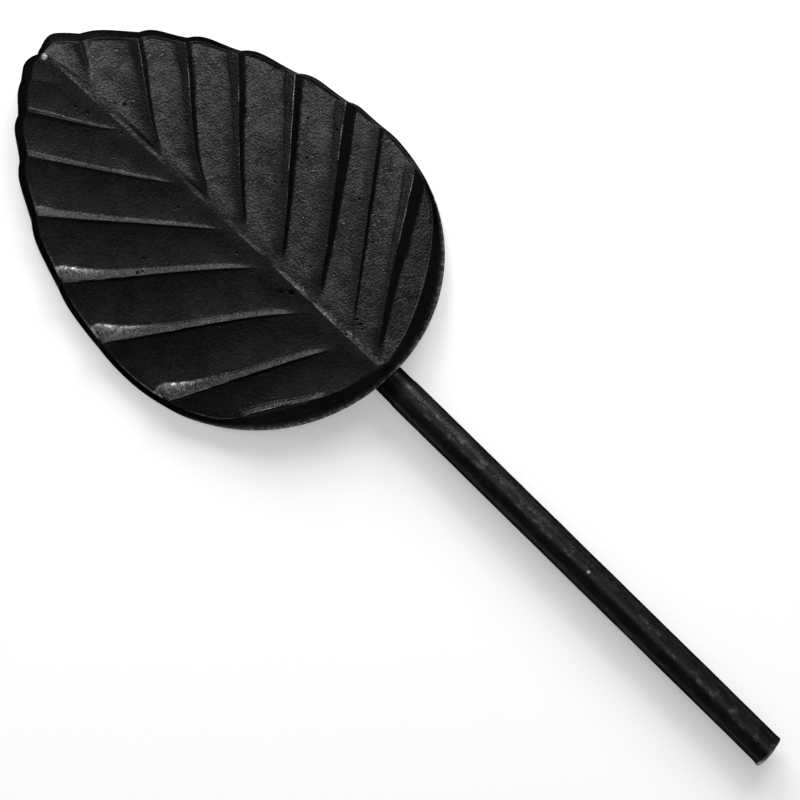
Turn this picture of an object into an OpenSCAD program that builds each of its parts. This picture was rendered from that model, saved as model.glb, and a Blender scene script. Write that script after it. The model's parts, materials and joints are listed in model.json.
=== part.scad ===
// Ornamental iron leaf on a round bar stem, for welding into gates, railings and other ironwork.
// The origin is the centre of the stem's cut end. +Y runs along the stem to the leaf's tip,
// +Z points out of the leaf's front and +X is to the right as seen from the front.

/* [Leaf] */
// Length of the leaf from base to tip
leaf_length = 169; // [140:1:190]
// Width of the leaf at its widest place
leaf_width = 126; // [104:1:140]
// Height of the widest place, as a share of the length
widest_share = 0.37; // [0.34:0.01:0.46]
// Fullness of the tip: 1 is round, higher is more pointed
tip_power = 1.42; // [1.2:0.02:1.8]
// Thickness of the leaf between its veins
leaf_thick = 5.5; // [4:0.25:7]
// How far the tip curls down below the straight midrib
tip_curl = 2.5; // [0:0.5:8]
// How far the tip leans to the left of the stem's line
tip_lean = 3.8; // [0:0.2:6]

/* [Veins] */
// Height of a full-strength vein crest above the web beside it
crest_height = 1.7; // [0.6:0.1:2.2]
// How far a web bulges between the midrib and the rim
web_camber = 0.7; // [0:0.1:1.5]
// Width of the rounded midrib crest
midrib_width = 1.6; // [1:0.2:3]

/* [Rim] */
// Width of the rounded shoulder at the tip and at the corners of the base
shoulder_width = 3.6; // [2.4:0.2:5]
// Height lost over the shoulder
shoulder_drop = 3; // [1.5:0.1:3.4]
// How far the edge wall leans out below the shoulder at the widest place
wall_draft = 0.8; // [0.4:0.1:1.5]

/* [Stem] */
// Diameter of the round bar
bar_diameter = 12; // [8:1:14]
// Length of bar that shows between the cut end and the leaf
bar_visible = 182; // [100:2:260]
// Length of bar hidden behind the leaf
bar_hidden = 36; // [30:1:44]
// Skew of the cropped end, in degrees
crop_angle = 4.8; // [0:0.2:8]

/* [Welds] */
// Length of the weld bead on each side of the bar
bead_length = 27; // [16:1:28]
// Reach of a bead along the leaf's back
bead_reach = 8.5; // [6:0.5:10]

/* [Hidden] */
$fn = 64;

iron_black = [0.07, 0.07, 0.075];
bar_black = [0.1, 0.1, 0.1];
weld_grey = [0.2, 0.19, 0.18];

bar_radius = bar_diameter / 2;
// Behind the leaf, and just before it, the bar is ground a little thinner for welding.
dressing_depth = 0.2;
dressing_lead = 6;
dressed_radius = bar_radius - dressing_depth;
half_width = leaf_width / 2;
widest_y = leaf_length * widest_share;
// The bar nests in the roof of the leaf's back, a hair clear of both halves. The roof is as
// steep as it has to be for the widest part of the rim to lie level with the bar's underside.
seat_gap = 0.05;
seat_radius = dressed_radius + seat_gap;
rim_reach = half_width - wall_draft;
roof_angle = atan(bar_radius / rim_reach) + asin(seat_radius / norm([bar_radius, rim_reach]));
roof_slope = tan(roof_angle);
back_ridge_z = seat_radius / cos(roof_angle);
front_ridge_z = back_ridge_z + leaf_thick / cos(roof_angle);
// The leaf's outline sits a little to the right of the stem at the base and leans left.
base_shift = 2.6;
outline_lean = 0.045;
curl_start = widest_y;

// Each vein: its foot on the midrib as a share of the length, its end in degrees round the
// outline from the base, its strength, the depth of the notch in the outline at its end, and
// how far it bows towards the tip as a share of its own length.
// The first and last rows are the seams at the base and the tip, where there is no vein.
right_veins = [
    [0.031, 0, 0, 0, 0],
    [0.04, 73.5, 1.3, 0.1, 0.015],
    [0.113, 91, 0.55, 0.3, 0],
    [0.208, 99, 1.3, 0.9, -0.005],
    [0.31, 110, 1.25, 1.4, -0.005],
    [0.404, 122, 1.15, 1.5, 0.02],
    [0.5, 133, 1, 1.3, 0.045],
    [0.635, 143.5, 0.9, 1.1, 0.03],
    [0.838, 158.5, 0.5, 0.5, -0.02],
    [0.955, 180, 0, 0, 0],
];
left_veins = [
    [0.031, 0, 0, 0, 0],
    [0.036, 51.5, 1.15, 0, -0.08],
    [0.098, 76.5, 1.2, 0.2, 0.007],
    [0.189, 99, 1.15, 0.3, 0.02],
    [0.322, 113, 1, 0.4, 0.01],
    [0.432, 127.5, 0.75, 0.8, 0],
    [0.57, 141, 0.7, 1.1, -0.01],
    [0.733, 152.5, 0.7, 1.1, -0.02],
    [0.87, 163, 0, 0.3, 0],
    [0.955, 180, 0, 0, 0],
];
webs = len(right_veins) - 1;
// The notch at the tip, the degrees over which the outline falls into it on each side, and how
// far the outline swells beside it.
tip_notch = 3;
notch_right = [166, 175];
notch_left = [168, 178];
tip_swell_right = 1.9;
tip_swell_left = 0.5;
// Every web rises to the crest below it over a wide band, and to the crest above it steeply.
lower_power = 5;
upper_power_right = 10;
upper_power_left = 26;

// Places across a web, from the lower vein to the upper one.
web_steps = [0, 0.1, 0.26, 0.5, 0.8, 0.95];
// Places along a web, from the midrib to the shoulder.
vein_steps = [0, 0.07, 0.16, 0.3, 0.45, 0.6, 0.75, 0.88, 1];
// Places across the shoulder, from the face to the top of the wall.
shoulder_steps = [0.4, 0.75, 1];
// Places on the back, from the rim to the midrib.
back_steps = [0.97, 0.66, 0.33, 0];
lines = webs * len(web_steps);

function mix(a, b, t) = a + (b - a) * t;
function clamp01(t) = max(0, min(1, t));
function ease(t) = let (c = clamp01(t)) c * c * (3 - 2 * c);

// Outline: a half ellipse at the base and a fuller, pointed half above the widest place.
function egg_x(a) = half_width * pow(max(0, sin(a)), a < 90 ? 1 : tip_power);
function egg_y(a) = widest_y - (a < 90 ? widest_y : leaf_length - widest_y) * cos(a);
function midline_x(y) = base_shift - outline_lean * y;
function egg(a, side) = [side * egg_x(a) + midline_x(egg_y(a)), egg_y(a)];

function unit(v) = v / norm(v);
function outward(a, side) =
    let (d = egg(min(180, a + 0.5), side) - egg(max(0, a - 0.5), side))
    unit([side * d[1], -side * d[0]]);

// The midrib drifts left towards the tip.
function midrib_x(y) = -tip_lean * pow(clamp01(y / leaf_length), 1.5);
function curl(y) = -tip_curl * pow(clamp01((y - curl_start) / (leaf_length - curl_start)), 2);

// Height of the crests at a place t across web k.
function flute(veins, k, t, upper_power) =
    veins[k][2] * pow(1 - t, lower_power) + veins[k + 1][2] * pow(t, upper_power);
// Crests grow out of the midrib.
function growth(r) = ease((r - 0.02) / 0.35) * (0.42 + 0.58 * min(1, r / 0.8));

// The outline bulges between two notches, most near the upper one.
function scallop(veins, k, t) = mix(veins[k][3], veins[k + 1][3], t) * (sin(180 * t * t) - 0.6);
function tip_offset(a, side, k, t) =
    let (
        span = side > 0 ? notch_right : notch_left,
        swell = k < webs - 1 ? 0 : (side > 0 ? tip_swell_right : tip_swell_left) * sin(180 * t)
    )
    swell - tip_notch * ease((a - span[0]) / (span[1] - span[0]));
// 1 at the two corners of the base, 0 at its middle and from 60 degrees on.
function corner(a) = a < 60 ? sin(3 * a) : 0;
// The shoulder and the lean of the wall are widest at the corners of the base. The shoulder
// widens again towards the tip, up to the notch.
function shoulder_at(a) =
    let (c = cos(a))
    shoulder_width * (a < 90 ? 0.3 + 0.3 * c * c + 0.55 * corner(a)
                             : (0.3 + 0.95 * c * c) * (1 - 0.6 * ease((a - 168) / 12)));
function lean_at(a) = wall_draft * (a < 90 ? 1 + pow(cos(a), 2) + 2 * corner(a) : 1);
// A vein's path from its foot to the face's edge, bowed most a third of the way out.
function bowed(foot, edge, side, bow, r) =
    let (d = edge - foot)
    foot + d * r + side * bow * 6.75 * r * pow(1 - r, 2) * [-d[1], d[0]];

function front_z(x, y) = front_ridge_z + curl(y) - roof_slope * abs(x - midrib_x(y));
function back_z(x, y) = back_ridge_z + curl(y) - roof_slope * abs(x);

// One line of points from the midrib over the front, round the rim and back along the back.
function line_points(veins, side, k, t, upper_power, on_seam) =
    let (
        a = mix(veins[k][1], veins[k + 1][1], t),
        foot_y = leaf_length * mix(veins[k][0], veins[k + 1][0], t),
        foot = [midrib_x(foot_y) + (on_seam ? 0 : side * midrib_width / 2), foot_y],
        out = outward(a, side),
        rim = egg(a, side) + out * (scallop(veins, k, t) + tip_offset(a, side, k, t)),
        wall_top = rim - out * lean_at(a),
        face_edge = wall_top - out * shoulder_at(a),
        crest = crest_height * flute(veins, k, t, upper_power),
        bow = mix(veins[k][4], veins[k + 1][4], t),
        back_foot = [on_seam ? 0 : side * midrib_width / 2, foot_y]
    )
    [
        for (r = vein_steps)
            let (p = bowed(foot, face_edge, side, bow, r))
            [p[0], p[1], front_z(p[0], p[1]) + crest * growth(r) + web_camber * sin(180 * r)],
        for (s = shoulder_steps)
            let (
                p = mix(face_edge, wall_top, s),
                drop = shoulder_drop * (0.85 * s + 0.15 * s * s)
            )
            [p[0], p[1], front_z(p[0], p[1]) + crest * (1 - 0.5 * s) - drop],
        [rim[0], rim[1], back_z(rim[0], rim[1]) + wall_draft],
        for (r = back_steps)
            let (p = mix(back_foot, wall_top, r))
            [p[0], p[1], back_z(p[0], p[1])]
    ];

function side_lines(veins, side, upper_power) = [
    for (k = [0:webs - 1])
        for (t = web_steps)
            line_points(veins, side, k, t, upper_power, k == 0 && t == 0)
];

right_lines = side_lines(right_veins, 1, upper_power_right);
left_lines = side_lines(left_veins, -1, upper_power_left);
tip_line = line_points(right_veins, 1, webs - 1, 1, upper_power_right, true);

// The lines in order round the leaf: base seam, right side, tip seam, left side.
loop = [
    for (i = [0:lines - 1]) right_lines[i],
    tip_line,
    for (i = [lines - 1:-1:1]) left_lines[i]
];
loop_count = len(loop);
line_count = len(loop[0]);

function at(j, i) = (j % loop_count) * line_count + i;
function mirror_line(j) = (loop_count - j) % loop_count;

leaf_points = [for (line = loop) each line];
leaf_faces = [
    for (j = [0:loop_count - 1])
        for (i = [0:line_count - 2])
            each [
                [at(j, i), at(j, i + 1), at(j + 1, i + 1)],
                [at(j, i), at(j + 1, i + 1), at(j + 1, i)]
            ],
    // The midrib closes the gap between the two sides, on the front and on the back.
    for (j = [0:lines - 1])
        for (i = [0, line_count - 1])
            let (
                right = [at(j, i), at(j + 1, i)],
                left = [at(mirror_line(j), i), at(mirror_line(j + 1), i)],
                quad = i == 0 ? [right[0], right[1], left[1], left[0]]
                              : [right[0], left[0], left[1], right[1]]
            )
            for (corners = [[0, 1, 2], [0, 2, 3]])
                let (face = [for (c = corners) quad[c]])
                if (face[0] != face[1] && face[1] != face[2] && face[2] != face[0]) face
];

module leaf_blade() {
    color(iron_black)
        translate([0, bar_visible, 0])
            polyhedron(points = leaf_points, faces = leaf_faces, convexity = 6);
}

module stem_bar() {
    crop_size = 3 * bar_diameter;
    dressed_y = bar_visible - dressing_lead;
    color(bar_black)
        difference() {
            rotate([-90, 0, 0]) {
                translate([0, 0, -bar_diameter])
                    cylinder(r = bar_radius, h = bar_diameter + dressed_y);
                translate([0, 0, dressed_y])
                    cylinder(r = dressed_radius, h = dressing_lead + bar_hidden);
            }
            rotate([0, 0, crop_angle])
                translate([-crop_size / 2, -crop_size, -crop_size / 2])
                    cube(crop_size);
        }
}

// Fillet between the side of the bar and the sloping back of the leaf, on the +X side.
module weld_fillet() {
    tangent = dressed_radius * [sin(roof_angle), cos(roof_angle)];
    along_back = [cos(roof_angle), -sin(roof_angle)];
    toe_angle = roof_angle + 75;
    toe = dressed_radius * [sin(toe_angle), cos(toe_angle)];
    start_y = bar_visible + bar_hidden - bead_length - 2;
    translate([0, start_y + bead_length, 0])
        rotate([90, 0, 0])
            linear_extrude(height = bead_length)
                difference() {
                    polygon([tangent, tangent + bead_reach * along_back, toe, [0, 0]]);
                    circle(r = dressed_radius);
                }
}

module weld_bead_right() {
    color(weld_grey) weld_fillet();
}

module weld_bead_left() {
    color(weld_grey) mirror([1, 0, 0]) weld_fillet();
}

leaf_blade();
stem_bar();
weld_bead_left();
weld_bead_right();
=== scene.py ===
"""Looks of an ornamental iron leaf on a round bar stem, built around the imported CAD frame.

Shapes are worked out in millimetres in the row frame: the origin is the centre of the stem's
cut end, +Y runs along the stem to the leaf's tip and +Z points out of the leaf's front.
"""

import json
import math

import bpy
import numpy as np
from mathutils import Matrix, Vector, noise


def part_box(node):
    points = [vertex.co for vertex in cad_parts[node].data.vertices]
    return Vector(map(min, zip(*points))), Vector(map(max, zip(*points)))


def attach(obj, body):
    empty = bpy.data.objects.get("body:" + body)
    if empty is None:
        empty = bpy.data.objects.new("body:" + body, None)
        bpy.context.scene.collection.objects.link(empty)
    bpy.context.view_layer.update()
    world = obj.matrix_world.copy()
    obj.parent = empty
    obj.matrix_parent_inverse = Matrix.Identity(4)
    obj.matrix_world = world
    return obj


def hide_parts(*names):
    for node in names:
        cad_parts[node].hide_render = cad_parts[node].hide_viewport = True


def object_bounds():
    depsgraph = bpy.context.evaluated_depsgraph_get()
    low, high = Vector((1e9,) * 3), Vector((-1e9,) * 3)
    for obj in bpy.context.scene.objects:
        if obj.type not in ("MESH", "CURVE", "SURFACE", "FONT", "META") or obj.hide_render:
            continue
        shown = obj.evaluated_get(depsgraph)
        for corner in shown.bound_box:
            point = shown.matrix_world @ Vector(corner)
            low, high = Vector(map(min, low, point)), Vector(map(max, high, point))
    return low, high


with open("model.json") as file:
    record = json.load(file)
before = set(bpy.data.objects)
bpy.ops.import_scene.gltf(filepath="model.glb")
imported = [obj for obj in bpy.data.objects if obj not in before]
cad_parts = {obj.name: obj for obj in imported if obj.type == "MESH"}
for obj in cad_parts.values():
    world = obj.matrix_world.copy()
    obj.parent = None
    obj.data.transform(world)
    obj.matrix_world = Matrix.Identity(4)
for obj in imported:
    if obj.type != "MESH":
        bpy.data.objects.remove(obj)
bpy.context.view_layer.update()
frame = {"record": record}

MM = 0.001
LEFT, RIGHT = -1, 1


def box_mm(node):
    """Lowest and highest corner of a CAD node, in millimetres."""
    low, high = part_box(node)
    return np.array(low) / MM, np.array(high) / MM


leaf_low = box_mm("leaf_blade")[0]
stem_low, stem_high = box_mm("stem_bar")
bead_low, bead_high = box_mm("weld_bead_right")
mounts = {mount["name"]: mount for mount in frame["record"]["mounts"]}

# ---------------------------------------------------------------- the leaf's design
LEAF_LENGTH = 169.0
LEAF_WIDTH = 126.0
WIDEST_SHARE = 0.37
TIP_POWER = 1.42
LEAF_THICK = 5.5
TIP_CURL = 2.5
TIP_LEAN = 3.8
CREST_HEIGHT = 1.7
MIDRIB_HALF = 0.8
SHOULDER_WIDTH = 3.6
SHOULDER_DROP = 3.0
WALL_DRAFT = 0.8
# How far the outline is shifted sideways at the base, and its lean per unit of length.
BASE_SHIFT = 2.6
OUTLINE_LEAN = 0.045
# How much the bar is ground down under the leaf, and the gap left between the two.
DRESSING = 0.2
SEAT_GAP = 0.05

BAR_RADIUS = mounts["stem_end"]["dims"]["r_mm"]
BASE_Y = leaf_low[1]
HALF_WIDTH = LEAF_WIDTH / 2
WIDEST_Y = LEAF_LENGTH * WIDEST_SHARE
RIM_REACH = HALF_WIDTH - WALL_DRAFT
SEAT_RADIUS = BAR_RADIUS - DRESSING + SEAT_GAP
ROOF_ANGLE = math.atan(BAR_RADIUS / RIM_REACH) + math.asin(
    SEAT_RADIUS / math.hypot(BAR_RADIUS, RIM_REACH)
)
ROOF_SLOPE = math.tan(ROOF_ANGLE)
BACK_RIDGE_Z = SEAT_RADIUS / math.cos(ROOF_ANGLE)
FRONT_RIDGE_Z = BACK_RIDGE_Z + LEAF_THICK / math.cos(ROOF_ANGLE)

# Veins: foot on the midrib as a share of the length, end in degrees round the outline,
# strength, depth of the notch in the outline, and bow towards the tip.
# The first and last rows are the seams at the base and the tip.
VEINS = {
    RIGHT: np.array([
        [0.031, 0, 0, 0, 0],
        [0.04, 73.5, 1.3, 0.1, 0.015],
        [0.113, 91, 0.55, 0.3, 0],
        [0.208, 99, 1.3, 0.9, -0.005],
        [0.31, 110, 1.25, 1.4, -0.005],
        [0.404, 122, 1.15, 1.5, 0.02],
        [0.5, 133, 1, 1.3, 0.045],
        [0.635, 143.5, 0.9, 1.1, 0.03],
        [0.838, 158.5, 0.5, 0.5, -0.02],
        [0.955, 180, 0, 0, 0],
    ]),
    LEFT: np.array([
        [0.031, 0, 0, 0, 0],
        [0.036, 51.5, 1.15, 0, -0.08],
        [0.098, 76.5, 1.2, 0.2, 0.007],
        [0.189, 99, 1.15, 0.3, 0.02],
        [0.322, 113, 1, 0.4, 0.01],
        [0.432, 127.5, 0.75, 0.8, 0],
        [0.57, 141, 0.7, 1.1, -0.01],
        [0.733, 152.5, 0.7, 1.1, -0.02],
        [0.87, 163, 0, 0.3, 0],
        [0.955, 180, 0, 0, 0],
    ]),
}
WEBS = len(VEINS[RIGHT]) - 1

# The cross-section over each vein, in millimetres from its crest. The strip is the flank that
# faces the tip, and the drop is the flank that faces the base.
STRIP_WIDTH = {
    RIGHT: np.array([1, 3.0, 2.6, 3.0, 3.0, 3.0, 2.8, 2.4, 2.0, 1]),
    LEFT: np.array([1, 2.1, 3.2, 3.1, 2.7, 1.9, 1.4, 1.1, 0.8, 1]),
}
DROP_WIDTH = {
    RIGHT: np.array([1, 4.4, 1.6, 4.2, 2.9, 2.7, 2.4, 2.0, 1.6, 1]),
    LEFT: np.array([1, 0.9, 0.9, 0.9, 0.9, 0.8, 0.8, 0.8, 0.8, 1]),
}
# Share of the crest's height that the strip itself loses, the width of the fall at its far
# edge, and how much of the flank is one plain slope, inside the leaf and at the rim.
STRIP_SHARE = {RIGHT: 0.7, LEFT: 0.92}
STRIP_EDGE = {RIGHT: 1.1, LEFT: 1.0}
STRIP_SLOPE = {RIGHT: (0.9, 0.25), LEFT: (0.1, 0.1)}
STRIP_RIPPLE = {RIGHT: 0.0, LEFT: 0.06}
# How much wider each strip gets at the rim.
FLARE = {
    RIGHT: np.full(10, 0.35),
    LEFT: np.array([0, 0.1, 1.1, 1.3, 1.4, 1.0, 0.7, 0.4, 0.1, 0]),
}
# Where each crest starts along its vein, and over what share of the vein it rises.
CREST_START = {
    RIGHT: np.zeros(10),
    LEFT: np.array([0, 0.36, 0.11, 0.09, 0.06, 0.04, 0.04, 0.04, 0.04, 0]),
}
CREST_RISE = np.array([0.16, 0.16, 0.16, 0.16, 0.16, 0.16, 0.16, 0.2, 0.7, 0.7])
# The notch at the tip, the stretch of the outline over which each side falls into it, and how
# far the outline swells beside it.
TIP_NOTCH = 3.0
TIP_NOTCH_SPAN = {RIGHT: (166, 175), LEFT: (168, 178)}
TIP_SWELL = {RIGHT: 1.9, LEFT: 0.5}
# How far the outer corner of each web lifts, and over what distance from the crest it fades.
CORNER_LIFT = {
    RIGHT: np.zeros(10),
    LEFT: np.array([0, 0, 1.0, 1.2, 1.7, 1.1, 0.8, 0.6, 0, 0]),
}
CORNER_FADE = 4.0
# Rise of the webs halfway out, on lines of the full length and more.
CAMBER = {RIGHT: 0.3, LEFT: 0.7}
CAMBER_FULL_LENGTH = 50.0
# Slope of the hollow web where it meets its two crests.
HOLLOW = {RIGHT: 0.19, LEFT: 0.22}
# Distances from the midrib over which the crests and the hollows grow out of it.
CALM_AT_FOOT = 3.0
HOLLOW_FROM_FOOT = 14.0

# How far apart the lines of points are, and how close together they may come.
LINE_SPACING = 1.0
LEAST_SPACING = 0.22
CREST_OFFSETS = (0.25, 0.55, 0.95, 1.5, 2.2, 3.0, 3.9, 5.0)
# Points along each line.
RIDGE_STEPS = 4
FACE_STEPS = 74
SHOULDER_STEPS = 9
WALL_SHARES = np.array([0.35, 0.7, 0.9, 1.0])
BACK_STEPS = 14
CREST_SAMPLES = 401

# Smooth unevenness: the size of its waves in millimetres, and its seed.
WAVES = {
    "hammer_marks": (9.0, 1),
    "small_hammer_marks": (3.2, 4),
    "back": (8.0, 9),
    "wander_across": (4.5, 11),
    "wander_along": (4.5, 14),
    "rim_wear": (14.0, 21),
    "ridge": (4.0, 31),
    "ridge_wear": (7.0, 33),
    "crest_wear": (5.0, 37),
    "foot_wear": (1.1, 41),
    "wall_wear": (1.3, 43),
    "band_painted_highlight": (1.5, 47),
}
# How deep the marks are and how far the crests wander, in millimetres.
HAMMER_DEPTH = 0.10
SMALL_HAMMER_DEPTH = 0.05
BACK_DEPTH = 0.08
CREST_WANDER = 0.14

# How bright the crests and the foot of the face are rubbed, and how wide, in millimetres.
CREST_WEAR = {RIGHT: 0.85, LEFT: 1.0}
CREST_WEAR_WIDTH = 0.3
FOOT_WEAR = {RIGHT: 0.95, LEFT: 0.5}
FOOT_WEAR_WIDTH = 1.7
# How bright the painted highlight on the left strips is: all over, more at the rim, and more at the
# far edge.
BAND_HIGHLIGHT = 0.32
BAND_RIM_HIGHLIGHT = 0.55
BAND_EDGE_HIGHLIGHT = 0.35
BAND_EDGE_WIDTH = 0.45
# How bright the leaf's edge is rubbed, and the painted highlight added to it near the base of the
# right half.
EDGE_WEAR = 0.28
BASE_EDGE_HIGHLIGHT = {RIGHT: 0.5, LEFT: 0.0}
# How dark the painted shade of the right half is in the drops, and beside the crests over a share
# of the web.
DROP_PAINTED_SHADE = 0.8
CREST_PAINTED_SHADE = 0.75
CREST_PAINTED_SHADE_SHARE = 0.62

# The bar: points round it, gap between its rings, and how far its skin lies inside the round
# bar so that its bumps stay within it. Its ends close with rings of these shares, slightly
# hollow, and each end has its own roughness.
BAR_SIDES = 72
BAR_RING_GAP = 1.4
BAR_SKIN = 0.06
CAP_SHARES = (0.86, 0.66, 0.44, 0.22)
CAP_HOLLOW = 0.25
CUT_ROUGHNESS = 0.12
HIDDEN_END_ROUGHNESS = 0.05
# The welds: points along and across each, and the number of ripples.
BEAD_STEPS = 90
BEAD_ACROSS = 14
BEAD_RIPPLES = 12


def ease(t):
    """A smooth step from 0 to 1."""
    c = np.clip(t, 0, 1)
    return c * c * (3 - 2 * c)


def mix(a, b, t):
    return a + (b - a) * t


def peak(distance, width):
    """1 at no distance, falling smoothly to nothing at about twice the width."""
    return np.exp(-(distance / width) ** 2)


def egg(degrees, side):
    """The plain outline: a half ellipse at the base, a fuller pointed half above it."""
    a = np.radians(degrees)
    power = np.where(degrees < 90, 1.0, TIP_POWER)
    height = np.where(degrees < 90, WIDEST_Y, LEAF_LENGTH - WIDEST_Y)
    x = HALF_WIDTH * np.maximum(0, np.sin(a)) ** power
    y = WIDEST_Y - height * np.cos(a)
    return np.stack([side * x + BASE_SHIFT - OUTLINE_LEAN * y, y], -1)


def outward(degrees, side):
    """Unit vectors square to the plain outline."""
    d = egg(np.minimum(180, degrees + 0.5), side) - egg(np.maximum(0, degrees - 0.5), side)
    n = np.stack([side * d[..., 1], -side * d[..., 0]], -1)
    return n / np.linalg.norm(n, axis=-1, keepdims=True)


def midrib_x(y):
    return -TIP_LEAN * np.clip(y / LEAF_LENGTH, 0, 1) ** 1.5


def curl(y):
    """The leaf bends back towards its tip."""
    return -TIP_CURL * np.clip((y - WIDEST_Y) / (LEAF_LENGTH - WIDEST_Y), 0, 1) ** 2


def growth(r, start, rise):
    """Crests rise out of the midrib and go on growing towards the rim."""
    return ease((r - start) / rise) * (0.42 + 0.58 * np.clip(r / 0.8, 0, 1))


def spread(r):
    """The flanks beside a crest widen from the midrib to the rim."""
    return 0.32 + 0.68 * np.clip(r / 0.75, 0, 1)


def flare_at(flare, reach, side):
    """Share by which a strip has widened: on the left it sweeps up along the rim."""
    if side == RIGHT:
        return flare * ease((reach - 0.75) / 0.25)
    return flare * np.clip((reach - 0.55) / 0.45, 0, 1) ** 2.6


def scallop(notch, degrees, t, web, side):
    """The outline bulges between two notches, most near the upper one, swells beside the tip
    and falls into the notch at the tip."""
    swell = np.where(web == WEBS - 1, TIP_SWELL[side] * np.sin(np.pi * t), 0.0)
    start, stop = TIP_NOTCH_SPAN[side]
    fall = TIP_NOTCH * ease((degrees - start) / (stop - start))
    return notch * (np.sin(np.pi * t * t) - 0.6) + swell - fall


def corner(degrees):
    """1 at the two corners of the base, 0 at its middle and from 60 degrees on."""
    return np.where(degrees < 60, np.sin(np.radians(3 * degrees)), 0.0)


def shoulder_at(degrees):
    """Width of the shoulder: wide at the corners of the base and beside the tip, and narrow at
    the leaf's sides and in the notch at the tip."""
    c = np.cos(np.radians(degrees))
    base = 0.3 * c ** 2 + 0.55 * corner(degrees)
    upper = (0.3 + 0.95 * c ** 2) * (1 - 0.6 * ease((degrees - 168) / 12))
    return SHOULDER_WIDTH * np.where(degrees < 90, 0.3 + base, upper)


def lean_at(degrees):
    """How far the edge wall leans out."""
    c = np.cos(np.radians(degrees))
    return WALL_DRAFT * np.where(degrees < 90, 1 + c ** 2 + 2 * corner(degrees), 1.0)


def front_z(p):
    return FRONT_RIDGE_Z + curl(p[..., 1]) - ROOF_SLOPE * np.abs(p[..., 0] - midrib_x(p[..., 1]))


def back_z(p):
    return BACK_RIDGE_Z + curl(p[..., 1]) - ROOF_SLOPE * np.abs(p[..., 0])


def turned(v, side):
    """The vectors turned a quarter towards the tip."""
    return side * np.stack([-v[..., 1], v[..., 0]], -1)


def between(start, end, shares):
    """Points on the straight lines from start to end."""
    return start[:, None, :] + (end - start)[:, None, :] * shares[None, :, None]


def paths(share, degrees, notch, bow, t, web, side, steps):
    """Lines over one half's face, with the points on the top of the wall and on the rim that
    they lead to."""
    foot_y = LEAF_LENGTH * share
    foot = np.stack([midrib_x(foot_y) + side * MIDRIB_HALF, foot_y], -1)
    out = outward(degrees, side)
    rim = egg(degrees, side) + out * scallop(notch, degrees, t, web, side)[:, None]
    wall_top = rim - out * lean_at(degrees)[:, None]
    edge = wall_top - out * shoulder_at(degrees)[:, None]
    r = steps[None, :, None]
    bulge = turned((edge - foot)[:, None, :], side) * bow[:, None, None] * 6.75 * r * (1 - r) ** 2
    return between(foot, edge, steps) + bulge, wall_top, rim


def line_shares():
    """Where the lines of points start on the midrib: on every vein of both halves, close
    beside each crest, and nowhere further apart than LINE_SPACING round the rim."""
    fine = np.linspace(VEINS[RIGHT][0, 0], VEINS[RIGHT][-1, 0], 20001)
    run = {}
    for side, veins in VEINS.items():
        points = egg(np.interp(fine, veins[:, 0], veins[:, 1]), side)
        steps = np.linalg.norm(np.diff(points, axis=0), axis=1)
        run[side] = np.concatenate([[0], np.cumsum(steps)])
    wanted = [fine[0], fine[-1]]
    for side, veins in VEINS.items():
        for share in veins[1:-1, 0]:
            at = np.interp(share, fine, run[side])
            offsets = [0, *CREST_OFFSETS, *[-o for o in CREST_OFFSETS]]
            wanted += [float(np.interp(at + o, run[side], fine)) for o in offsets]
    crests = np.concatenate([veins[:, 0] for veins in VEINS.values()])
    # The crests come first, so that no line beside them pushes them out.
    crests_first = sorted(set(wanted), key=lambda s: (np.min(np.abs(crests - s)) > 1e-9, s))
    kept = []
    for share in crests_first:
        apart = [
            np.abs(np.interp(share, fine, run[side]) - np.interp(kept, fine, run[side]))
            for side in run
        ] if kept else []
        if not kept or np.min(np.maximum(*apart)) > LEAST_SPACING:
            kept.append(share)
    kept.sort()
    shares = [kept[0]]
    for low, high in zip(kept, kept[1:]):
        gap = max(np.interp(high, fine, r) - np.interp(low, fine, r) for r in run.values())
        count = max(1, math.ceil(gap / LINE_SPACING))
        shares += [mix(low, high, (i + 1) / count) for i in range(count)]
    return np.array(shares)


def strip_profile(distance, width, width_of_web, side, reach):
    """Height share of the flank that faces the tip. Near the rim the strip lies flatter and
    its far edge falls more steeply."""
    rim_end = ease((reach - 0.6) / 0.35)
    share = STRIP_SHARE[side]
    on_strip = np.clip(distance / width, 0, 1)
    on_strip = on_strip + STRIP_RIPPLE[side] * np.sin(2 * np.pi * on_strip)
    past = np.clip((distance - width) / STRIP_EDGE[side], 0, 1)
    groove = 0.12 * peak(distance - width, 0.5) * ease((reach - 0.3) / 0.3)
    on_face = 1 - share * on_strip ** 1.1 - (1 - share) * ease(past)
    slope = (1 - np.clip(distance / width_of_web, 0, 1)) ** 2.2
    return mix(on_face, slope, mix(*STRIP_SLOPE[side], rim_end)) - groove


def drop_profile(distance, width):
    """Height share of the steep flank that faces the base, hollow towards its foot."""
    return (1 - np.clip(distance / width, 0, 1)) ** 1.2


def nearest(points, crest_paths, rows):
    """Distance from each line's points to the given crest, and how far along it (0 to 1)."""
    gaps = np.empty(points.shape[:-1])
    reaches = np.empty(points.shape[:-1])
    for row in np.unique(rows):
        path = crest_paths[row]
        tangent = np.gradient(path, axis=0)
        tangent /= np.linalg.norm(tangent, axis=-1, keepdims=True)
        mine = points[rows == row]
        index = np.array([
            np.argmin(((line[:, None] - path[None]) ** 2).sum(-1), axis=1) for line in mine
        ])
        gap = mine - path[index]
        ahead = tangent[index]
        along = (gap * ahead).sum(-1)
        across = np.abs(gap[..., 0] * ahead[..., 1] - gap[..., 1] * ahead[..., 0])
        inside = (index > 0) & (index < len(path) - 1)
        gaps[rows == row] = np.where(inside, across, np.hypot(across, along))
        reaches[rows == row] = index / (len(path) - 1)
    return gaps, reaches


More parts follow.
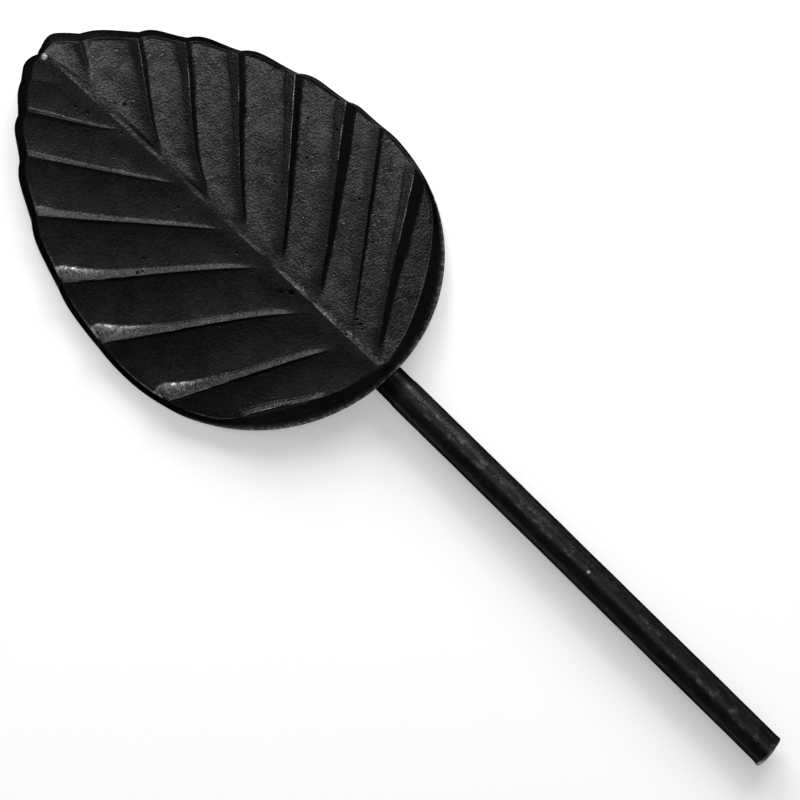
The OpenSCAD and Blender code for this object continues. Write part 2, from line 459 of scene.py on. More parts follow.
def waves(points, kind, side=0):
    """Smooth noise from -1 to 1 at each point, with the size and seed given in WAVES."""
    size, seed = WAVES[kind]
    seed += side
    shift = Vector((seed * 17.3, seed * 5.1, seed * 9.7))
    flat = points.reshape(-1, points.shape[-1]) / size
    values = [noise.noise(Vector((p[0], p[1], 0.0)) + shift) for p in flat]
    return np.array(values).reshape(points.shape[:-1])


class Half:
    """One half of the leaf. Its points lie on lines that start in the middle of the midrib,
    run over the front, round the rim and back to the middle of the back.

    Each part of a line is worked out as places in plan, heights, wear with painted highlights, and
    painted shade. Wear is 0 on black iron and more on brighter metal, and painted shade is 1 where
    the iron is painted blackest."""

    def __init__(self, side, shares):
        self.side = side
        self.shares = shares
        veins = VEINS[side]
        self.web = np.clip(np.searchsorted(veins[:, 0], shares, side="right") - 1, 0, WEBS - 1)
        lower, upper = veins[self.web], veins[self.web + 1]
        t = (shares - lower[:, 0]) / (upper[:, 0] - lower[:, 0])
        share, self.degrees, _, notch, bow = (lower + (upper - lower) * t[:, None]).T
        self.steps = np.linspace(0, 1, FACE_STEPS)
        self.face, self.wall_top, self.rim = paths(
            share, self.degrees, notch, bow, t, self.web, side, self.steps)
        self.from_foot = np.linalg.norm(self.face - self.face[:, :1], axis=-1)
        self.measure_crests()
        self.raise_face()
        # Where the wear of the edge comes and goes, with a painted highlight near the base of the
        # right half, and what is near the leaf's base.
        patches = np.clip(0.5 + 1.6 * waves(self.rim, "rim_wear", side), 0, 1)
        near_base_highlight = BASE_EDGE_HIGHLIGHT[side] * ease((80 - self.degrees) / 30)
        self.arris = patches * (near_base_highlight + EDGE_WEAR)
        self.base_zone = ease((85 - self.degrees) / 25)[:, None]
        self.base_end = ease((0.5 - shares) / 0.35)[:, None]
        self.rough = np.clip(0.8 + 0.9 * waves(self.face, "foot_wear"), 0, 1.3)

    def strength(self, vein, reach):
        start = CREST_START[self.side][vein, None]
        full = VEINS[self.side][vein, 2][:, None]
        return full * growth(reach, start, CREST_RISE[vein, None])

    def measure_crests(self):
        """How far each point is from the crests below and above it, how far along them it is,
        how strong they are there, and how wide their flanks are."""
        side, web, veins = self.side, self.web, VEINS[self.side]
        count = len(veins)
        crest_paths = paths(
            veins[:, 0], veins[:, 1], veins[:, 3], veins[:, 4], np.zeros(count),
            np.arange(count), side, np.linspace(0, 1, CREST_SAMPLES))[0]
        wander = np.stack([
            waves(self.face, "wander_across", side), waves(self.face, "wander_along", side)
        ], -1)
        uneven = self.face + CREST_WANDER * wander
        self.low, self.low_reach = nearest(uneven, crest_paths, web)
        self.high, self.high_reach = nearest(uneven, crest_paths, web + 1)
        self.width = self.low + self.high
        self.low_strength = self.strength(web, self.low_reach)
        self.high_strength = self.strength(web + 1, self.high_reach)
        self.flare = FLARE[side][web, None]
        widened = 1 + flare_at(self.flare, self.low_reach, side)
        self.strip = STRIP_WIDTH[side][web, None] * spread(self.low_reach) * widened
        self.drop = DROP_WIDTH[side][web + 1, None] * spread(self.high_reach)

    def raise_face(self):
        """Heights of the face, from the crests, the webs between them and the hammer marks."""
        side, web = self.side, self.web
        reach = self.steps[None, :]
        strip = strip_profile(self.low, self.strip, self.width, side, self.low_reach)
        drop = drop_profile(self.high, self.drop)
        self.crest = CREST_HEIGHT * (self.low_strength * strip + self.high_strength * drop)
        near_crest = np.exp(-self.low / CORNER_FADE)
        self.crest += CORNER_LIFT[side][web, None] * near_crest * ease((reach - 0.78) / 0.22)
        middle = 2 * self.low / self.width - 1
        hollow = HOLLOW[side] / 4 * self.width * (middle ** 2 - 1)
        length = np.clip(self.from_foot[:, -1:] / CAMBER_FULL_LENGTH, 0, 1)
        camber = CAMBER[side] * length * np.sin(np.pi * reach)
        camber += hollow * ease(self.from_foot / HOLLOW_FROM_FOOT)
        self.hammered = HAMMER_DEPTH * waves(self.face, "hammer_marks", side)
        self.hammered += SMALL_HAMMER_DEPTH * waves(self.face, "small_hammer_marks", side)
        calm = ease(self.from_foot / CALM_AT_FOOT)
        self.z = front_z(self.face) + camber + (self.crest + self.hammered) * calm

    def band_painted_highlight(self):
        """The strips on the left, which face the light, get a painted highlight, most of all at
        their far edge and rim.
        """
        if self.side == RIGHT:
            return 0.0
        on_band = ease((self.strip * 1.1 - self.low) / 0.8) * self.low_strength
        rim_end = ease((self.low_reach - 0.72) / 0.2)
        far_edge = peak(self.low - self.strip * 0.9, BAND_EDGE_WIDTH)
        far_part = np.clip(self.low / self.strip, 0, 1)
        mottled = np.clip(0.75 + 0.8 * waves(self.face, "band_painted_highlight"), 0.25, 1.2)
        bright_part = BAND_RIM_HIGHLIGHT * self.flare * rim_end * far_part + BAND_EDGE_HIGHLIGHT * far_edge
        return on_band * (BAND_HIGHLIGHT + bright_part * mottled)

    def face_part(self):
        """The face, worn along its crests, edge and foot, with a painted highlight on the left
        bands and near the base of the right edge, and painted shade in the right half's drops and
        beside its crests.
        """
        side = self.side
        broken = np.clip(0.75 + 1.1 * waves(self.face, "crest_wear", side), 0.15, 1)
        crest_lines = self.low_strength * peak(self.low, CREST_WEAR_WIDTH)
        crest_lines += self.high_strength * peak(self.high, CREST_WEAR_WIDTH)
        crest_wear = broken * CREST_WEAR[side] * crest_lines
        edge_wear_and_highlight = peak(1 - self.steps[None, :], 1 / 45) * self.arris[:, None]
        foot_wear = self.base_end * peak(self.from_foot, FOOT_WEAR_WIDTH) * FOOT_WEAR[side]
        wear_and_highlight = np.maximum(crest_wear, edge_wear_and_highlight)
        wear_and_highlight = np.maximum(wear_and_highlight, np.maximum(self.band_painted_highlight(), foot_wear * self.rough))
        # Painted shade: the right half is painted darker in its drops and beside its crests, where
        # the light does not reach.
        inside = ease((self.drop - self.high) / 0.6)
        in_drop = DROP_PAINTED_SHADE * inside * ease(self.high_strength / 0.4)
        beside = ease(1 - self.low / (CREST_PAINTED_SHADE_SHARE * self.width))
        beside_crest = CREST_PAINTED_SHADE * beside * ease(self.low_strength / 0.4)
        painted_shade = np.maximum(in_drop, beside_crest) * (side == RIGHT)
        return self.face, self.z, wear_and_highlight, painted_shade

    def ridge_part(self):
        """The midrib's rounded ridge, from its middle to the face's foot."""
        across = np.linspace(0, 1, RIDGE_STEPS + 1)[:-1]
        foot_y = LEAF_LENGTH * self.shares
        middle = np.stack([midrib_x(foot_y), foot_y], -1)
        ridge = between(middle, self.face[:, 0], across)
        swell = (0.05 + 0.1 * waves(middle, "ridge")) * ease((self.shares - 0.05) / 0.08)
        z = self.z[:, :1] + (1 - across[None, :] ** 2) * swell[:, None]
        rubbed = np.clip(0.85 + 0.6 * waves(middle, "ridge_wear"), 0, 1)[:, None]
        rubbed = rubbed * mix(1, self.rough[:, :1], 0.35 * self.base_end)
        wear_and_highlight = rubbed * (0.8 - 0.15 * across * self.side + 0.35 * self.base_end)
        return ridge, z, wear_and_highlight, np.zeros(z.shape)

    def shoulder_part(self):
        """The rounded shoulder, from the face's edge to the top of the wall."""
        s = np.linspace(0, 1, SHOULDER_STEPS + 1)[1:]
        shoulder = between(self.face[:, -1], self.wall_top, s)
        drop = SHOULDER_DROP * (0.85 * s + 0.15 * s * s)
        z = front_z(shoulder) + self.crest[:, -1:] * (1 - 0.5 * s) - drop
        z += self.hammered[:, -1:] * (1 - s)
        # The edge of the face is rubbed; near the base the foot of the shoulder gets a painted
        # highlight, and the shoulder below the edge is painted dark as shade.
        wear_and_highlight = peak(s[None, :], 1 / 6) * self.arris[:, None]
        wear_and_highlight = wear_and_highlight + 0.3 * self.base_zone * peak(1 - s[None, :], 1 / 8)
        return shoulder, z, wear_and_highlight, np.tile(np.minimum(1, s * 4), (len(self.shares), 1))

    def wall_part(self, top_z):
        """The edge wall, which leans out and is rounded at its foot."""
        w = WALL_SHARES
        wall = between(self.wall_top, self.rim, w)
        rim_z = back_z(self.rim)[:, None] + WALL_DRAFT
        z = top_z + (rim_z - top_z) * w[None, :] ** 1.25
        # Painted shade darkens the wall away from the base, where its bare specks are also fewer;
        # near the base the wall is lighter, with its specks at full strength, as painted light.
        grains = 0.4 * waves(self.rim, "wall_wear")[:, None]
        wear_and_highlight = np.array([0.4, 0.9, 1.1, 1.1])[None, :] + grains
        painted_shade = mix(1, 0.1, self.base_zone) * np.ones(z.shape)
        return wall, z, wear_and_highlight * mix(0.3, 1, self.base_zone), painted_shade

    def back_part(self):
        """The plain back, round the bottom of the wall and in to the middle."""
        b = np.concatenate([[1.0, 0.985], np.linspace(0.95, 0, BACK_STEPS)])
        foot_y = LEAF_LENGTH * self.shares
        back = between(np.stack([np.zeros_like(foot_y), foot_y], -1), self.wall_top, b)
        z = back_z(back) + BACK_DEPTH * waves(back, "back", self.side) * ease((1 - b) / 0.1)
        return back, z, np.zeros(z.shape), np.zeros(z.shape)

    def lines(self):
        """All points of the half, line by line, with the wear and painted highlights and the
        painted shade of each point.
        """
        shoulder = self.shoulder_part()
        wall = self.wall_part(shoulder[1][:, -1:])
        parts = (self.ridge_part(), self.face_part(), shoulder, wall, self.back_part())
        places, heights, wear_and_highlight, painted_shade = (np.concatenate(each, 1) for each in zip(*parts))
        points = np.concatenate([places, heights[..., None]], -1)
        points[..., 1] += BASE_Y
        return points, wear_and_highlight, painted_shade


# ---------------------------------------------------------------- the pieces
def piece(name, points, faces, body="root"):
    """A mesh object from points in millimetres, riding on a body."""
    mesh = bpy.data.meshes.new(name)
    mesh.from_pydata([tuple(p) for p in np.asarray(points) * MM], [], faces)
    mesh.validate()
    mesh.update()
    mesh.polygons.foreach_set("use_smooth", [True] * len(mesh.polygons))
    obj = bpy.data.objects.new(name, mesh)
    bpy.context.scene.collection.objects.link(obj)
    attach(obj, body)
    return obj


def attribute(obj, name, values):
    """Stores a number for each point, which the materials read."""
    layer = obj.data.attributes.new(name, "FLOAT", "POINT")
    layer.data.foreach_set("value", np.asarray(values, np.float32))


def tube_faces(rings, sides):
    """Quads between rings that have equally many points."""
    faces = []
    for k in range(rings - 1):
        here, there = k * sides, (k + 1) * sides
        for i in range(sides):
            n = (i + 1) % sides
            faces.append((here + i, here + n, there + n, there + i))
    return faces


def make_leaf():
    shares = line_shares()
    right, right_wear, right_painted_shade = Half(RIGHT, shares).lines()
    left, left_wear, left_painted_shade = Half(LEFT, shares).lines()
    lines, count = right.shape[:2]
    last = count - 1

    # Both halves share the whole first and last lines, and both ends of every line.
    index = {RIGHT: np.arange(lines * count).reshape(lines, count)}
    index[LEFT] = index[RIGHT].copy()
    own = np.ones((lines, count), bool)
    own[[0, -1], :] = False
    own[:, [0, last]] = False
    index[LEFT][own] = lines * count + np.arange(own.sum())
    points = np.concatenate([right.reshape(-1, 3), left[own]])

    faces = []
    for side in (RIGHT, LEFT):
        grid = index[side]
        for j in range(lines - 1):
            for i in range(last):
                quad = [grid[j, i], grid[j, i + 1], grid[j + 1, i + 1], grid[j + 1, i]]
                faces.append(tuple(quad if side == RIGHT else quad[::-1]))
    leaf = piece("leaf_iron_face", points, faces)
    attribute(leaf, "wear_and_highlight", np.concatenate([right_wear.reshape(-1), left_wear[own]]))
    attribute(leaf, "painted_shade", np.concatenate([right_painted_shade.reshape(-1), left_painted_shade[own]]))
    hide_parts("leaf_blade")
    return leaf


def make_stem():
    """The bar: slightly uneven, with a sheared end that spreads on one side."""
    sides = BAR_SIDES
    skew = mounts["stem_cut_face"]["axis"][0]
    length = stem_high[1]
    near_cut = [0, 0.25, 0.6, 1.1, 1.8, 2.6]
    stations = np.concatenate([near_cut, np.arange(3.5, length, BAR_RING_GAP), [length]])
    angles = np.arange(sides) * 2 * np.pi / sides

    def ring_at(y):
        """One ring of the bar: ground down near the leaf, with a small lip behind the cut."""
        dressed = ease((y - (BASE_Y - 7)) / 1.0) * DRESSING
        lip = 0.35 * math.exp(-((y - 0.5) / 0.9) ** 2) - 0.35 * math.exp(-(y / 0.22) ** 2)
        ring = []
        for a in angles:
            x, z = math.cos(a), math.sin(a)
            bump = noise.noise(Vector((x * 1.3, y / 14, z * 1.3))) * 0.07
            bump += noise.noise(Vector((x * 4, y / 3.5, z * 4 + 9))) * 0.025
            radius = BAR_RADIUS - BAR_SKIN - dressed + bump + lip * (0.4 + 0.6 * max(0, -x))
            skewed_y = y + skew * radius * x * max(0, 1 - y / 6)
            ring.append((radius * x, skewed_y, max(radius * z, stem_low[2])))
        return ring

    rings = [ring_at(y) for y in stations]
    points = [p for ring in rings for p in ring]
    faces = tube_faces(len(rings), sides)

    def cap(ring, first, inward, rough, reverse):
        """Closes an end with rings that shrink to its middle."""
        ring = np.array(ring)
        centre = ring.mean(0)
        start = first
        for share in CAP_SHARES:
            base = len(points)
            for p in ring:
                q = centre + (p - centre) * share
                dent = rough * noise.noise(Vector((q[0] / 1.1, q[2] / 1.6, 3.0)))
                points.append((q[0], q[1] + inward * (1 - share) * CAP_HOLLOW + dent, q[2]))
            for i in range(sides):
                n = (i + 1) % sides
                quad = (start + i, base + i, base + n, start + n)
                faces.append(quad[::-1] if reverse else quad)
            start = base
        points.append((centre[0], centre[1] + inward * CAP_HOLLOW, centre[2]))
        for i in range(sides):
            corners = (start + i, len(points) - 1, start + (i + 1) % sides)
            faces.append(corners[::-1] if reverse else corners)

    cap(rings[0], 0, 1, CUT_ROUGHNESS, True)
    cap(rings[-1], (len(rings) - 1) * sides, -1, HIDDEN_END_ROUGHNESS, False)
    stem = piece("stem_round_bar", points, [tuple(reversed(f)) for f in faces])
    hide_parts("stem_bar")
    return stem


def make_bead(side, node):
    """A rippled fillet weld between the bar and the sloping back of the leaf."""
    radius = BAR_RADIUS - DRESSING
    reach = bead_high[0] - radius * math.sin(ROOF_ANGLE)
    steps, across = BEAD_STEPS, BEAD_ACROSS
    upright = np.array([math.sin(ROOF_ANGLE), math.cos(ROOF_ANGLE)])
    down_slope = np.array([math.cos(ROOF_ANGLE), -math.sin(ROOF_ANGLE)])
    tangent = radius * 0.99 * upright
    points = []
    for k in range(steps + 1):
        share = k / steps
        y = mix(bead_low[1], bead_high[1], share)
        ends = math.sqrt(max(0.0, 1 - (2 * share - 1) ** 6))
        ripple = 0.5 + 0.5 * math.sin(2 * math.pi * share * BEAD_RIPPLES + 1.2)
        swell = 0.3 + 0.6 * ripple + 0.2 * noise.noise(Vector((y / 4, side * 3.0, 1.0)))
        toe_angle = ROOF_ANGLE + math.radians(mix(30, 68, ends))
        toe = radius * 0.99 * np.array([math.sin(toe_angle), math.cos(toe_angle)])
        foot = tangent + down_slope * reach * mix(0.45, 0.93, ends) + upright * 0.3
        outer = foot - toe
        normal = np.array([outer[1], -outer[0]]) / np.linalg.norm(outer)
        if normal[1] > 0:
            normal = -normal
        for i in range(across):
            q = i / (across - 1)
            hollow = math.sin(math.pi * q)
            p = toe + outer * q + normal * hollow * swell * ends * 0.9
            points.append((side * p[0], y - 0.7 * hollow * (1 - share), p[1]))
        points.append((side * tangent[0], y, tangent[1] + 0.2))
    ring = across + 1
    faces = tube_faces(steps + 1, ring)
    faces.append(tuple(range(ring))[::-1])
    faces.append(tuple(steps * ring + i for i in range(ring)))
    if side == RIGHT:
        faces = [f[::-1] for f in faces]
    bead = piece(node.replace("weld_bead", "weld_ripples"), points, faces)
    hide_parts(node)
    return bead


# ---------------------------------------------------------------- materials
class Nodes:
    """Builds a node material with few words."""

    def __init__(self, name):
        self.material = bpy.data.materials.new(name)
        self.material.use_nodes = True
        self.tree = self.material.node_tree
        self.shader = self.tree.nodes["Principled BSDF"]
        self.place = self.add("ShaderNodeTexCoord").outputs["Object"]

    def add(self, kind, **values):
        node = self.tree.nodes.new(kind)
        for key, value in values.items():
            setattr(node, key, value)
        return node

    def plug(self, socket, value):
        if isinstance(value, bpy.types.NodeSocket):
            self.tree.links.new(value, socket)
        else:
            socket.default_value = value

    def set(self, **values):
        """Sets the shader's own sockets, named with _ for a space."""
        for name, value in values.items():
            self.shader.inputs[name.replace("_", " ")].default_value = value

    def finish(self, colour, roughness, normal):
        self.plug(self.shader.inputs["Base Color"], colour)
        self.plug(self.shader.inputs["Roughness"], roughness)
        self.plug(self.shader.inputs["Normal"], normal)
        return self.material

    def noise(self, size_mm, detail=3.0, roughness=0.55, stretch=(1, 1, 1)):
        mapping = self.add("ShaderNodeMapping")
        mapping.inputs["Scale"].default_value = [1 / (size_mm * MM * s) for s in stretch]
        self.plug(mapping.inputs["Vector"], self.place)
        node = self.add("ShaderNodeTexNoise")
        node.inputs["Scale"].default_value = 1.0
        node.inputs["Detail"].default_value = detail
        node.inputs["Roughness"].default_value = roughness
        self.plug(node.inputs["Vector"], mapping.outputs["Vector"])
        return node.outputs["Fac"]

    def axes(self, vector):
        """The X, Y and Z of a vector."""
        split = self.add("ShaderNodeSeparateXYZ")
        self.plug(split.inputs[0], vector)
        return split.outputs["X"], split.outputs["Y"], split.outputs["Z"]

    def ramp(self, value, low, high, to_low=0.0, to_high=1.0):
        """A smooth step between two values, which also runs downwards if low is above high."""
        node = self.add("ShaderNodeMapRange", interpolation_type="SMOOTHSTEP")
        self.plug(node.inputs["Value"], value)
        node.inputs["From Min"].default_value = low
        node.inputs["From Max"].default_value = high
        node.inputs["To Min"].default_value = to_low
        node.inputs["To Max"].default_value = to_high
        return node.outputs["Result"]

    def math(self, operation, a, b=0.0):
        node = self.add("ShaderNodeMath", operation=operation)
        self.plug(node.inputs[0], a)
        self.plug(node.inputs[1], b)
        return node.outputs[0]

    def plus(self, value, other, share):
        """The value plus a share of the other."""
        return self.math("ADD", value, self.math("MULTIPLY", other, share))

    def weighted(self, first, *others):
        """The sum of pairs of a share and a value."""
        total = self.math("MULTIPLY", first[1], first[0])
        for share, value in others:
            total = self.plus(total, value, share)
        return total

    def blend(self, share, a, b):
        node = self.add("ShaderNodeMix", data_type="RGBA")
        self.plug(node.inputs["Factor"], share)
        self.plug(node.inputs["A"], a)
        self.plug(node.inputs["B"], b)
        return node.outputs["Result"]

    def attribute(self, name):
        return self.add("ShaderNodeAttribute", attribute_name=name).outputs["Fac"]

    def spots(self, spots, base_y):
        """1 inside the spots on the front and 0 elsewhere, with soft edges."""
        flat = self.add("ShaderNodeVectorMath", operation="MULTIPLY")
        self.plug(flat.inputs[0], self.place)
        flat.inputs[1].default_value = (1, 1, 0)
        most = 0.0
        for x, y, width in spots:
            gap = self.add("ShaderNodeVectorMath", operation="DISTANCE")
            self.plug(gap.inputs[0], flat.outputs["Vector"])
            gap.inputs[1].default_value = (x * MM, (y + base_y) * MM, 0)
            near, far = 0.15 * width * MM, 0.6 * width * MM
            inside = self.ramp(gap.outputs["Value"], near, far, 1.0, 0.0)
            most = self.math("MAXIMUM", inside, most)
        up = self.axes(self.add("ShaderNodeTexCoord").outputs["Normal"])[2]
        return self.math("MULTIPLY", most, self.ramp(up, 0.1, 0.4))

    def bump(self, height, distance_mm, strength, before=None):
        node = self.add("ShaderNodeBump")
        node.inputs["Distance"].default_value = distance_mm * MM
        node.inputs["Strength"].default_value = strength
        self.plug(node.inputs["Height"], height)
        if before is not None:
            self.plug(node.inputs["Normal"], before)
        return node.outputs["Normal"]


# How light each state of the metal is, and the tones of painted shade, shadow, highlights and
# glints.
TONES = {
    "pit": 0.002,
    "scale_and_shadow": 0.008,
    "painted_shade": 0.011,
    "leaf_dark": 0.016,
    "leaf_light": 0.031,
    "patch_dark": 0.013,
    "patch_light": 0.030,
    "painted_glint": 0.08,
    "worn": 0.08,
    "bare": 0.22,
    "shiny": 0.6,
    "bar_dark": 0.017,
    "bar_light": 0.024,
    "bar_painted_highlight": 0.034,
    "bar_scuff_and_glint": 0.095,
    "bar_cut": 0.28,
    "nick_and_glint": 0.5,
    "weld_light": 0.018,
}
# How much light the dark metal throws back at its edges.
LEAF_EDGE_TINT = (0.25, 0.25, 0.25, 1)
STEM_EDGE_TINT = (0.35, 0.35, 0.35, 1)

# Small pits in the leaf's face: x and y from the leaf's base, and diameter.
PITS = (
    (-9.5, 142.5, 1.2), (-8.0, 138.0, 1.4), (-13.0, 134.0, 0.9), (-5.0, 124.5, 1.0),
    (3.0, 131.0, 1.8), (1.0, 133.5, 0.9), (-35.0, 87.0, 1.2), (-33.5, 86.0, 0.9),
    (-30.0, 89.0, 0.9), (-9.5, 92.5, 1.1), (-6.5, 67.0, 1.1), (45.0, 84.0, 1.0),
    (34.5, 74.0, 1.2), (22.0, 73.5, 0.9), (20.5, 75.5, 1.1), (37.0, 51.0, 1.4),
    (49.0, 74.0, 1.0), (-5.5, 46.5, 1.6), (-3.3, 44.0, 2.2), (-0.5, 20.5, 1.2),
    (6.0, 21.5, 1.0), (5.8, 19.5, 1.1), (4.8, 17.8, 1.0), (14.0, 112.0, 1.0),
)
# A painted glint where the midrib ends at the tip.
TIP_PAINTED_GLINT = ((-4.7, 162.4, 2.4),)
# A bare nick on the bar: x and y from the cut end, and diameter.
STEM_SPOTS = ((0.2, 87.0, 1.3),)


def tone(name):
    value = TONES[name]
    return (value, value, value * 1.01, 1.0)


def leaf_material():
    n = Nodes("black_forged_iron")
    n.set(Metallic=1.0, Specular_Tint=LEAF_EDGE_TINT)
    wear_and_highlight = n.attribute("wear_and_highlight")
    grain = n.noise(0.8, detail=2.0, roughness=0.6)
    coarse = n.noise(2.8, detail=2.0)
    mottle = n.noise(9.0, detail=3.0)
    flakes = n.math("SUBTRACT", n.noise(0.65, detail=3.0, roughness=0.65), 0.5)
    pits = n.spots(PITS, BASE_Y)

    even = n.ramp(n.weighted((0.4, mottle), (0.6, grain)), 0.36, 0.64)
    even = n.blend(even, tone("leaf_dark"), tone("leaf_light"))
    # The right half, which faces the light, gets patchier tone and small painted glints that stand
    # in for its sparkle.
    patches = n.noise(3.8, detail=4.0, roughness=0.65)
    patchy = n.ramp(n.weighted((0.25, mottle), (0.4, patches), (0.35, grain)), 0.41, 0.59)
    patchy = n.blend(patchy, tone("patch_dark"), tone("patch_light"))
    points = n.ramp(n.noise(1.2, detail=2.0, roughness=0.6), 0.66, 0.73)
    patchy = n.blend(points, patchy, tone("painted_glint"))
    right_half = n.ramp(n.axes(n.place)[0], -2.0 * MM, 3.0 * MM)
    # Painted shade: where the mesh marks shade, the iron is painted nearly black.
    painted_shade_mask = n.ramp(n.plus(n.attribute("painted_shade"), flakes, 0.9), 0.25, 0.75)
    black = n.blend(painted_shade_mask, n.blend(right_half, even, patchy), tone("painted_shade"))

    # The bright metal tones paint the rubbed places and also the painted highlights on the left
    # strips and near the base.
    wear_and_highlight_level = n.plus(wear_and_highlight, flakes, 1.5)
    worn = n.ramp(wear_and_highlight_level, 0.58, 0.88)
    bare = n.ramp(wear_and_highlight_level, 0.95, 1.25)
    shiny = n.ramp(n.plus(wear_and_highlight, flakes, 1.8), 1.25, 1.6)
    bright_metal = n.blend(shiny, n.blend(bare, tone("worn"), tone("bare")), tone("shiny"))
    colour = n.blend(worn, black, bright_metal)
    colour = n.blend(pits, colour, tone("pit"))
    colour = n.blend(n.spots(TIP_PAINTED_GLINT, BASE_Y), colour, tone("nick_and_glint"))

    satin = n.ramp(n.weighted((0.6, mottle), (0.4, coarse)), 0.3, 0.7, 0.34, 0.41)
    glints = n.ramp(grain, 0.58, 0.7, 0.0, 0.15)
    roughness = n.plus(n.math("SUBTRACT", satin, glints), worn, 0.1)
    dents = n.bump(grain, 0.26, 1.0, n.bump(coarse, 0.16, 0.8))
    return n.finish(colour, roughness, n.bump(n.math("SUBTRACT", 1.0, pits), 0.3, 0.8, dents))


def stem_material():
    n = Nodes("black_satin_bar")
    n.set(Metallic=1.0, Specular_Tint=STEM_EDGE_TINT)
    mottle = n.noise(5.0, detail=5.0, roughness=0.7, stretch=(1, 1.8, 1))
    scuffs = n.noise(2.2, detail=4.0, roughness=0.65, stretch=(1, 2.0, 1))
    fine = n.noise(0.8, detail=3.0)
    x, y, z = n.axes(n.place)
    # A painted highlight: the bar is lighter in a narrow line along its top, where most of the
    # scuffs are.
    from_line = n.math("ABSOLUTE", n.math("SUBTRACT", x, 0.5 * MM))
    painted_highlight_top = n.ramp(z, 3.0 * MM, 5.0 * MM)
    line = n.math("MULTIPLY", n.ramp(from_line, 2.6 * MM, 0.6 * MM), painted_highlight_top)
    scuffs_and_glints = n.math("MULTIPLY", n.ramp(scuffs, 0.54, 0.64), n.ramp(line, 0.0, 1.0, 0.15, 1.0))
    colour = n.blend(n.ramp(mottle, 0.38, 0.62), tone("bar_dark"), tone("bar_light"))
    colour = n.blend(line, colour, tone("bar_painted_highlight"))
    colour = n.blend(scuffs_and_glints, colour, tone("bar_scuff_and_glint"))
    colour = n.blend(n.spots(STEM_SPOTS, 0), colour, tone("nick_and_glint"))
    # Bare metal at the cut end, and painted shadow of the leaf on the bar next to it.
    colour = n.blend(n.ramp(y, 1.0 * MM, 0.3 * MM), colour, tone("bar_cut"))
    painted_leaf_shadow = n.ramp(y, (BASE_Y - 9) * MM, (BASE_Y - 3) * MM)
    colour = n.blend(painted_leaf_shadow, colour, tone("scale_and_shadow"))
    roughness = n.ramp(mottle, 0.35, 0.65, 0.3, 0.39)
    return n.finish(colour, roughness, n.bump(fine, 0.1, 0.8, n.bump(mottle, 0.08, 0.5)))


def weld_material():
    n = Nodes("black_weld_metal")
    fine = n.noise(0.7, detail=3.0)
    mottle = n.noise(4.0)
    colour = n.blend(mottle, tone("scale_and_shadow"), tone("weld_light"))
    return n.finish(colour, n.ramp(mottle, 0.3, 0.7, 0.34, 0.5), n.bump(fine, 0.1, 0.8))


def floor_material():
    n = Nodes("pale_floor")
    n.set(
        Base_Color=(0.83, 0.83, 0.83, 1),
        Roughness=0.9,
        Specular_IOR_Level=0.1,
        Emission_Color=(1, 1, 1, 1),
        Emission_Strength=0.33,
    )
    return n.material


# ---------------------------------------------------------------- camera, floor and light
CAMERA_DISTANCE = 800.0
# How far the camera's line of sight leans off straight down, its roll in degrees, its focal
# length and sensor, and the point at stem height in the middle of its view.
CAMERA_LEAN = (0.088, 0.05)
CAMERA_ROLL = 45.3
CAMERA_LENS = 104.35
CAMERA_SENSOR = 36
SIGHT = (-2.5, 174.3)
# Level directions in the row frame that run up and to the right in the main view.
VIEW_UP = Vector((0.7156, 0.6985, 0))
VIEW_RIGHT = Vector((0.6985, -0.7156, 0))

# In metres: half the floor's side, and its distance below the object.
FLOOR_HALF = 4.0
FLOOR_GAP = 0.0001

# Soft panels: name, place along the object that it aims at in millimetres, degrees off the
# vertical, degrees from the view's top towards its right, distance, width and height in
# metres, and power in watts.
PANELS = (
    ("key_panel", 255, 60, 27, 1.2, 0.6, 0.6, 9.8),
    ("edge_panel", 255, 62, -15, 1.4, 0.8, 0.7, 15),
    ("wide_panel", 265, 44, -68, 0.9, 0.9, 0.9, 1.5),
    ("overhead_panel", 90, 7, 71, 1.0, 0.4, 0.4, 0.6),
)
# How strong the even light from all round is, and how light the backdrop looks.
WORLD_LIGHT = 0.16
BACKDROP = 0.88


def add_to_scene(name, data):
    obj = bpy.data.objects.new(name, data)
    bpy.context.scene.collection.objects.link(obj)
    return obj


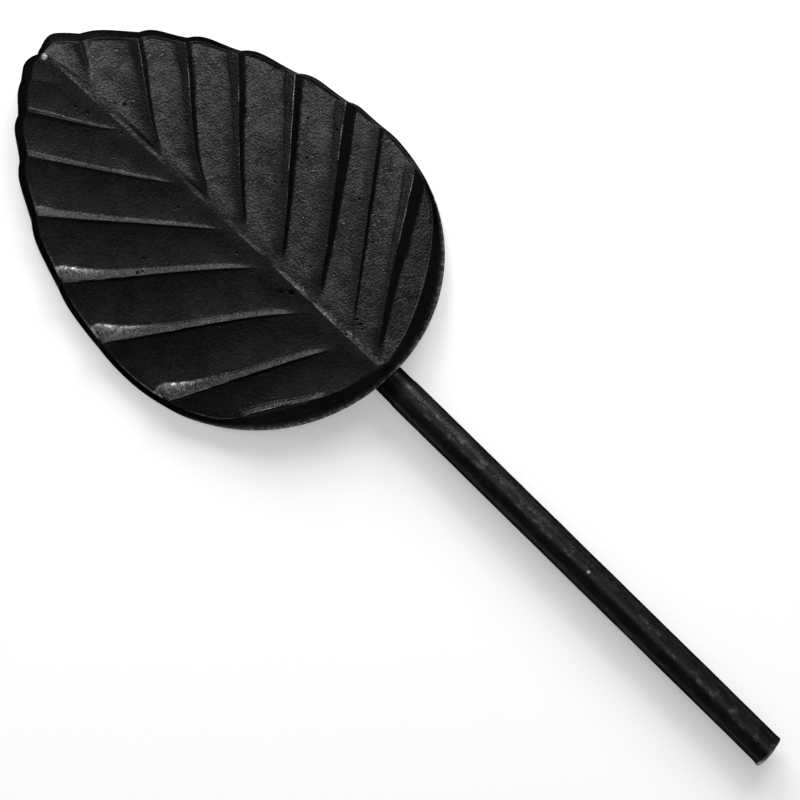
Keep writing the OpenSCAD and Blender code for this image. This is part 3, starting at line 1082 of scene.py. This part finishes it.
def make_camera():
    ahead = Vector((*CAMERA_LEAN, -1)).normalized()
    across = Vector((1, 0, 0))
    across = (across - ahead * across.dot(ahead)).normalized()
    up = across.cross(ahead)
    c, s = math.cos(math.radians(CAMERA_ROLL)), math.sin(math.radians(CAMERA_ROLL))
    right, top = across * c - up * s, across * s + up * c
    data = bpy.data.cameras.new("camera")
    data.lens = CAMERA_LENS
    data.sensor_width = CAMERA_SENSOR
    camera = add_to_scene("camera", data)
    place = (Vector((*SIGHT, 0)) - ahead * CAMERA_DISTANCE) * MM
    turn = Matrix((right, top, -ahead)).transposed()
    camera.matrix_world = Matrix.Translation(place) @ turn.to_4x4()
    bpy.context.scene.camera = camera


def make_floor():
    """A pale floor just under the lowest point of the object."""
    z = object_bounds()[0][2] - FLOOR_GAP
    mesh = bpy.data.meshes.new("floor")
    corners = [(x * FLOOR_HALF, y * FLOOR_HALF, z) for x, y in ((-1, -1), (1, -1), (1, 1), (-1, 1))]
    mesh.from_pydata(corners, [], [(0, 1, 2, 3)])
    mesh.materials.append(floor_material())
    add_to_scene("floor", mesh)


def make_light(name, aim, tilt, turn, distance, width, height, power):
    t, a = math.radians(tilt), math.radians(turn)
    level = VIEW_UP * math.cos(a) + VIEW_RIGHT * math.sin(a)
    away = level * math.sin(t) + Vector((0, 0, math.cos(t)))
    data = bpy.data.lights.new(name, "AREA")
    data.shape = "RECTANGLE"
    data.size, data.size_y = width, height
    data.energy = power
    place = Vector((0, aim, 0)) * MM + away * distance
    facing = away.to_track_quat("Z", "Y").to_matrix().to_4x4()
    add_to_scene(name, data).matrix_world = Matrix.Translation(place) @ facing


def make_world(strength, seen):
    """Dim even light from all round, behind a pale backdrop."""
    world = bpy.data.worlds.new("studio")
    world.use_nodes = True
    bpy.context.scene.world = world
    tree = world.node_tree
    background = tree.nodes["Background"]
    background.inputs["Color"].default_value = (1, 1, 1, 1)
    path = tree.nodes.new("ShaderNodeLightPath")
    level = tree.nodes.new("ShaderNodeMapRange")
    level.inputs["To Min"].default_value = strength
    level.inputs["To Max"].default_value = seen
    tree.links.new(path.outputs["Is Camera Ray"], level.inputs["Value"])
    tree.links.new(level.outputs["Result"], background.inputs["Strength"])


make_camera()
make_leaf().data.materials.append(leaf_material())
make_stem().data.materials.append(stem_material())
weld = weld_material()
for bead_side, bead_node in ((RIGHT, "weld_bead_right"), (LEFT, "weld_bead_left")):
    make_bead(bead_side, bead_node).data.materials.append(weld)
make_floor()
for panel in PANELS:
    make_light(*panel)
make_world(WORLD_LIGHT, BACKDROP)
bpy.context.scene.view_settings.view_transform = "Standard"
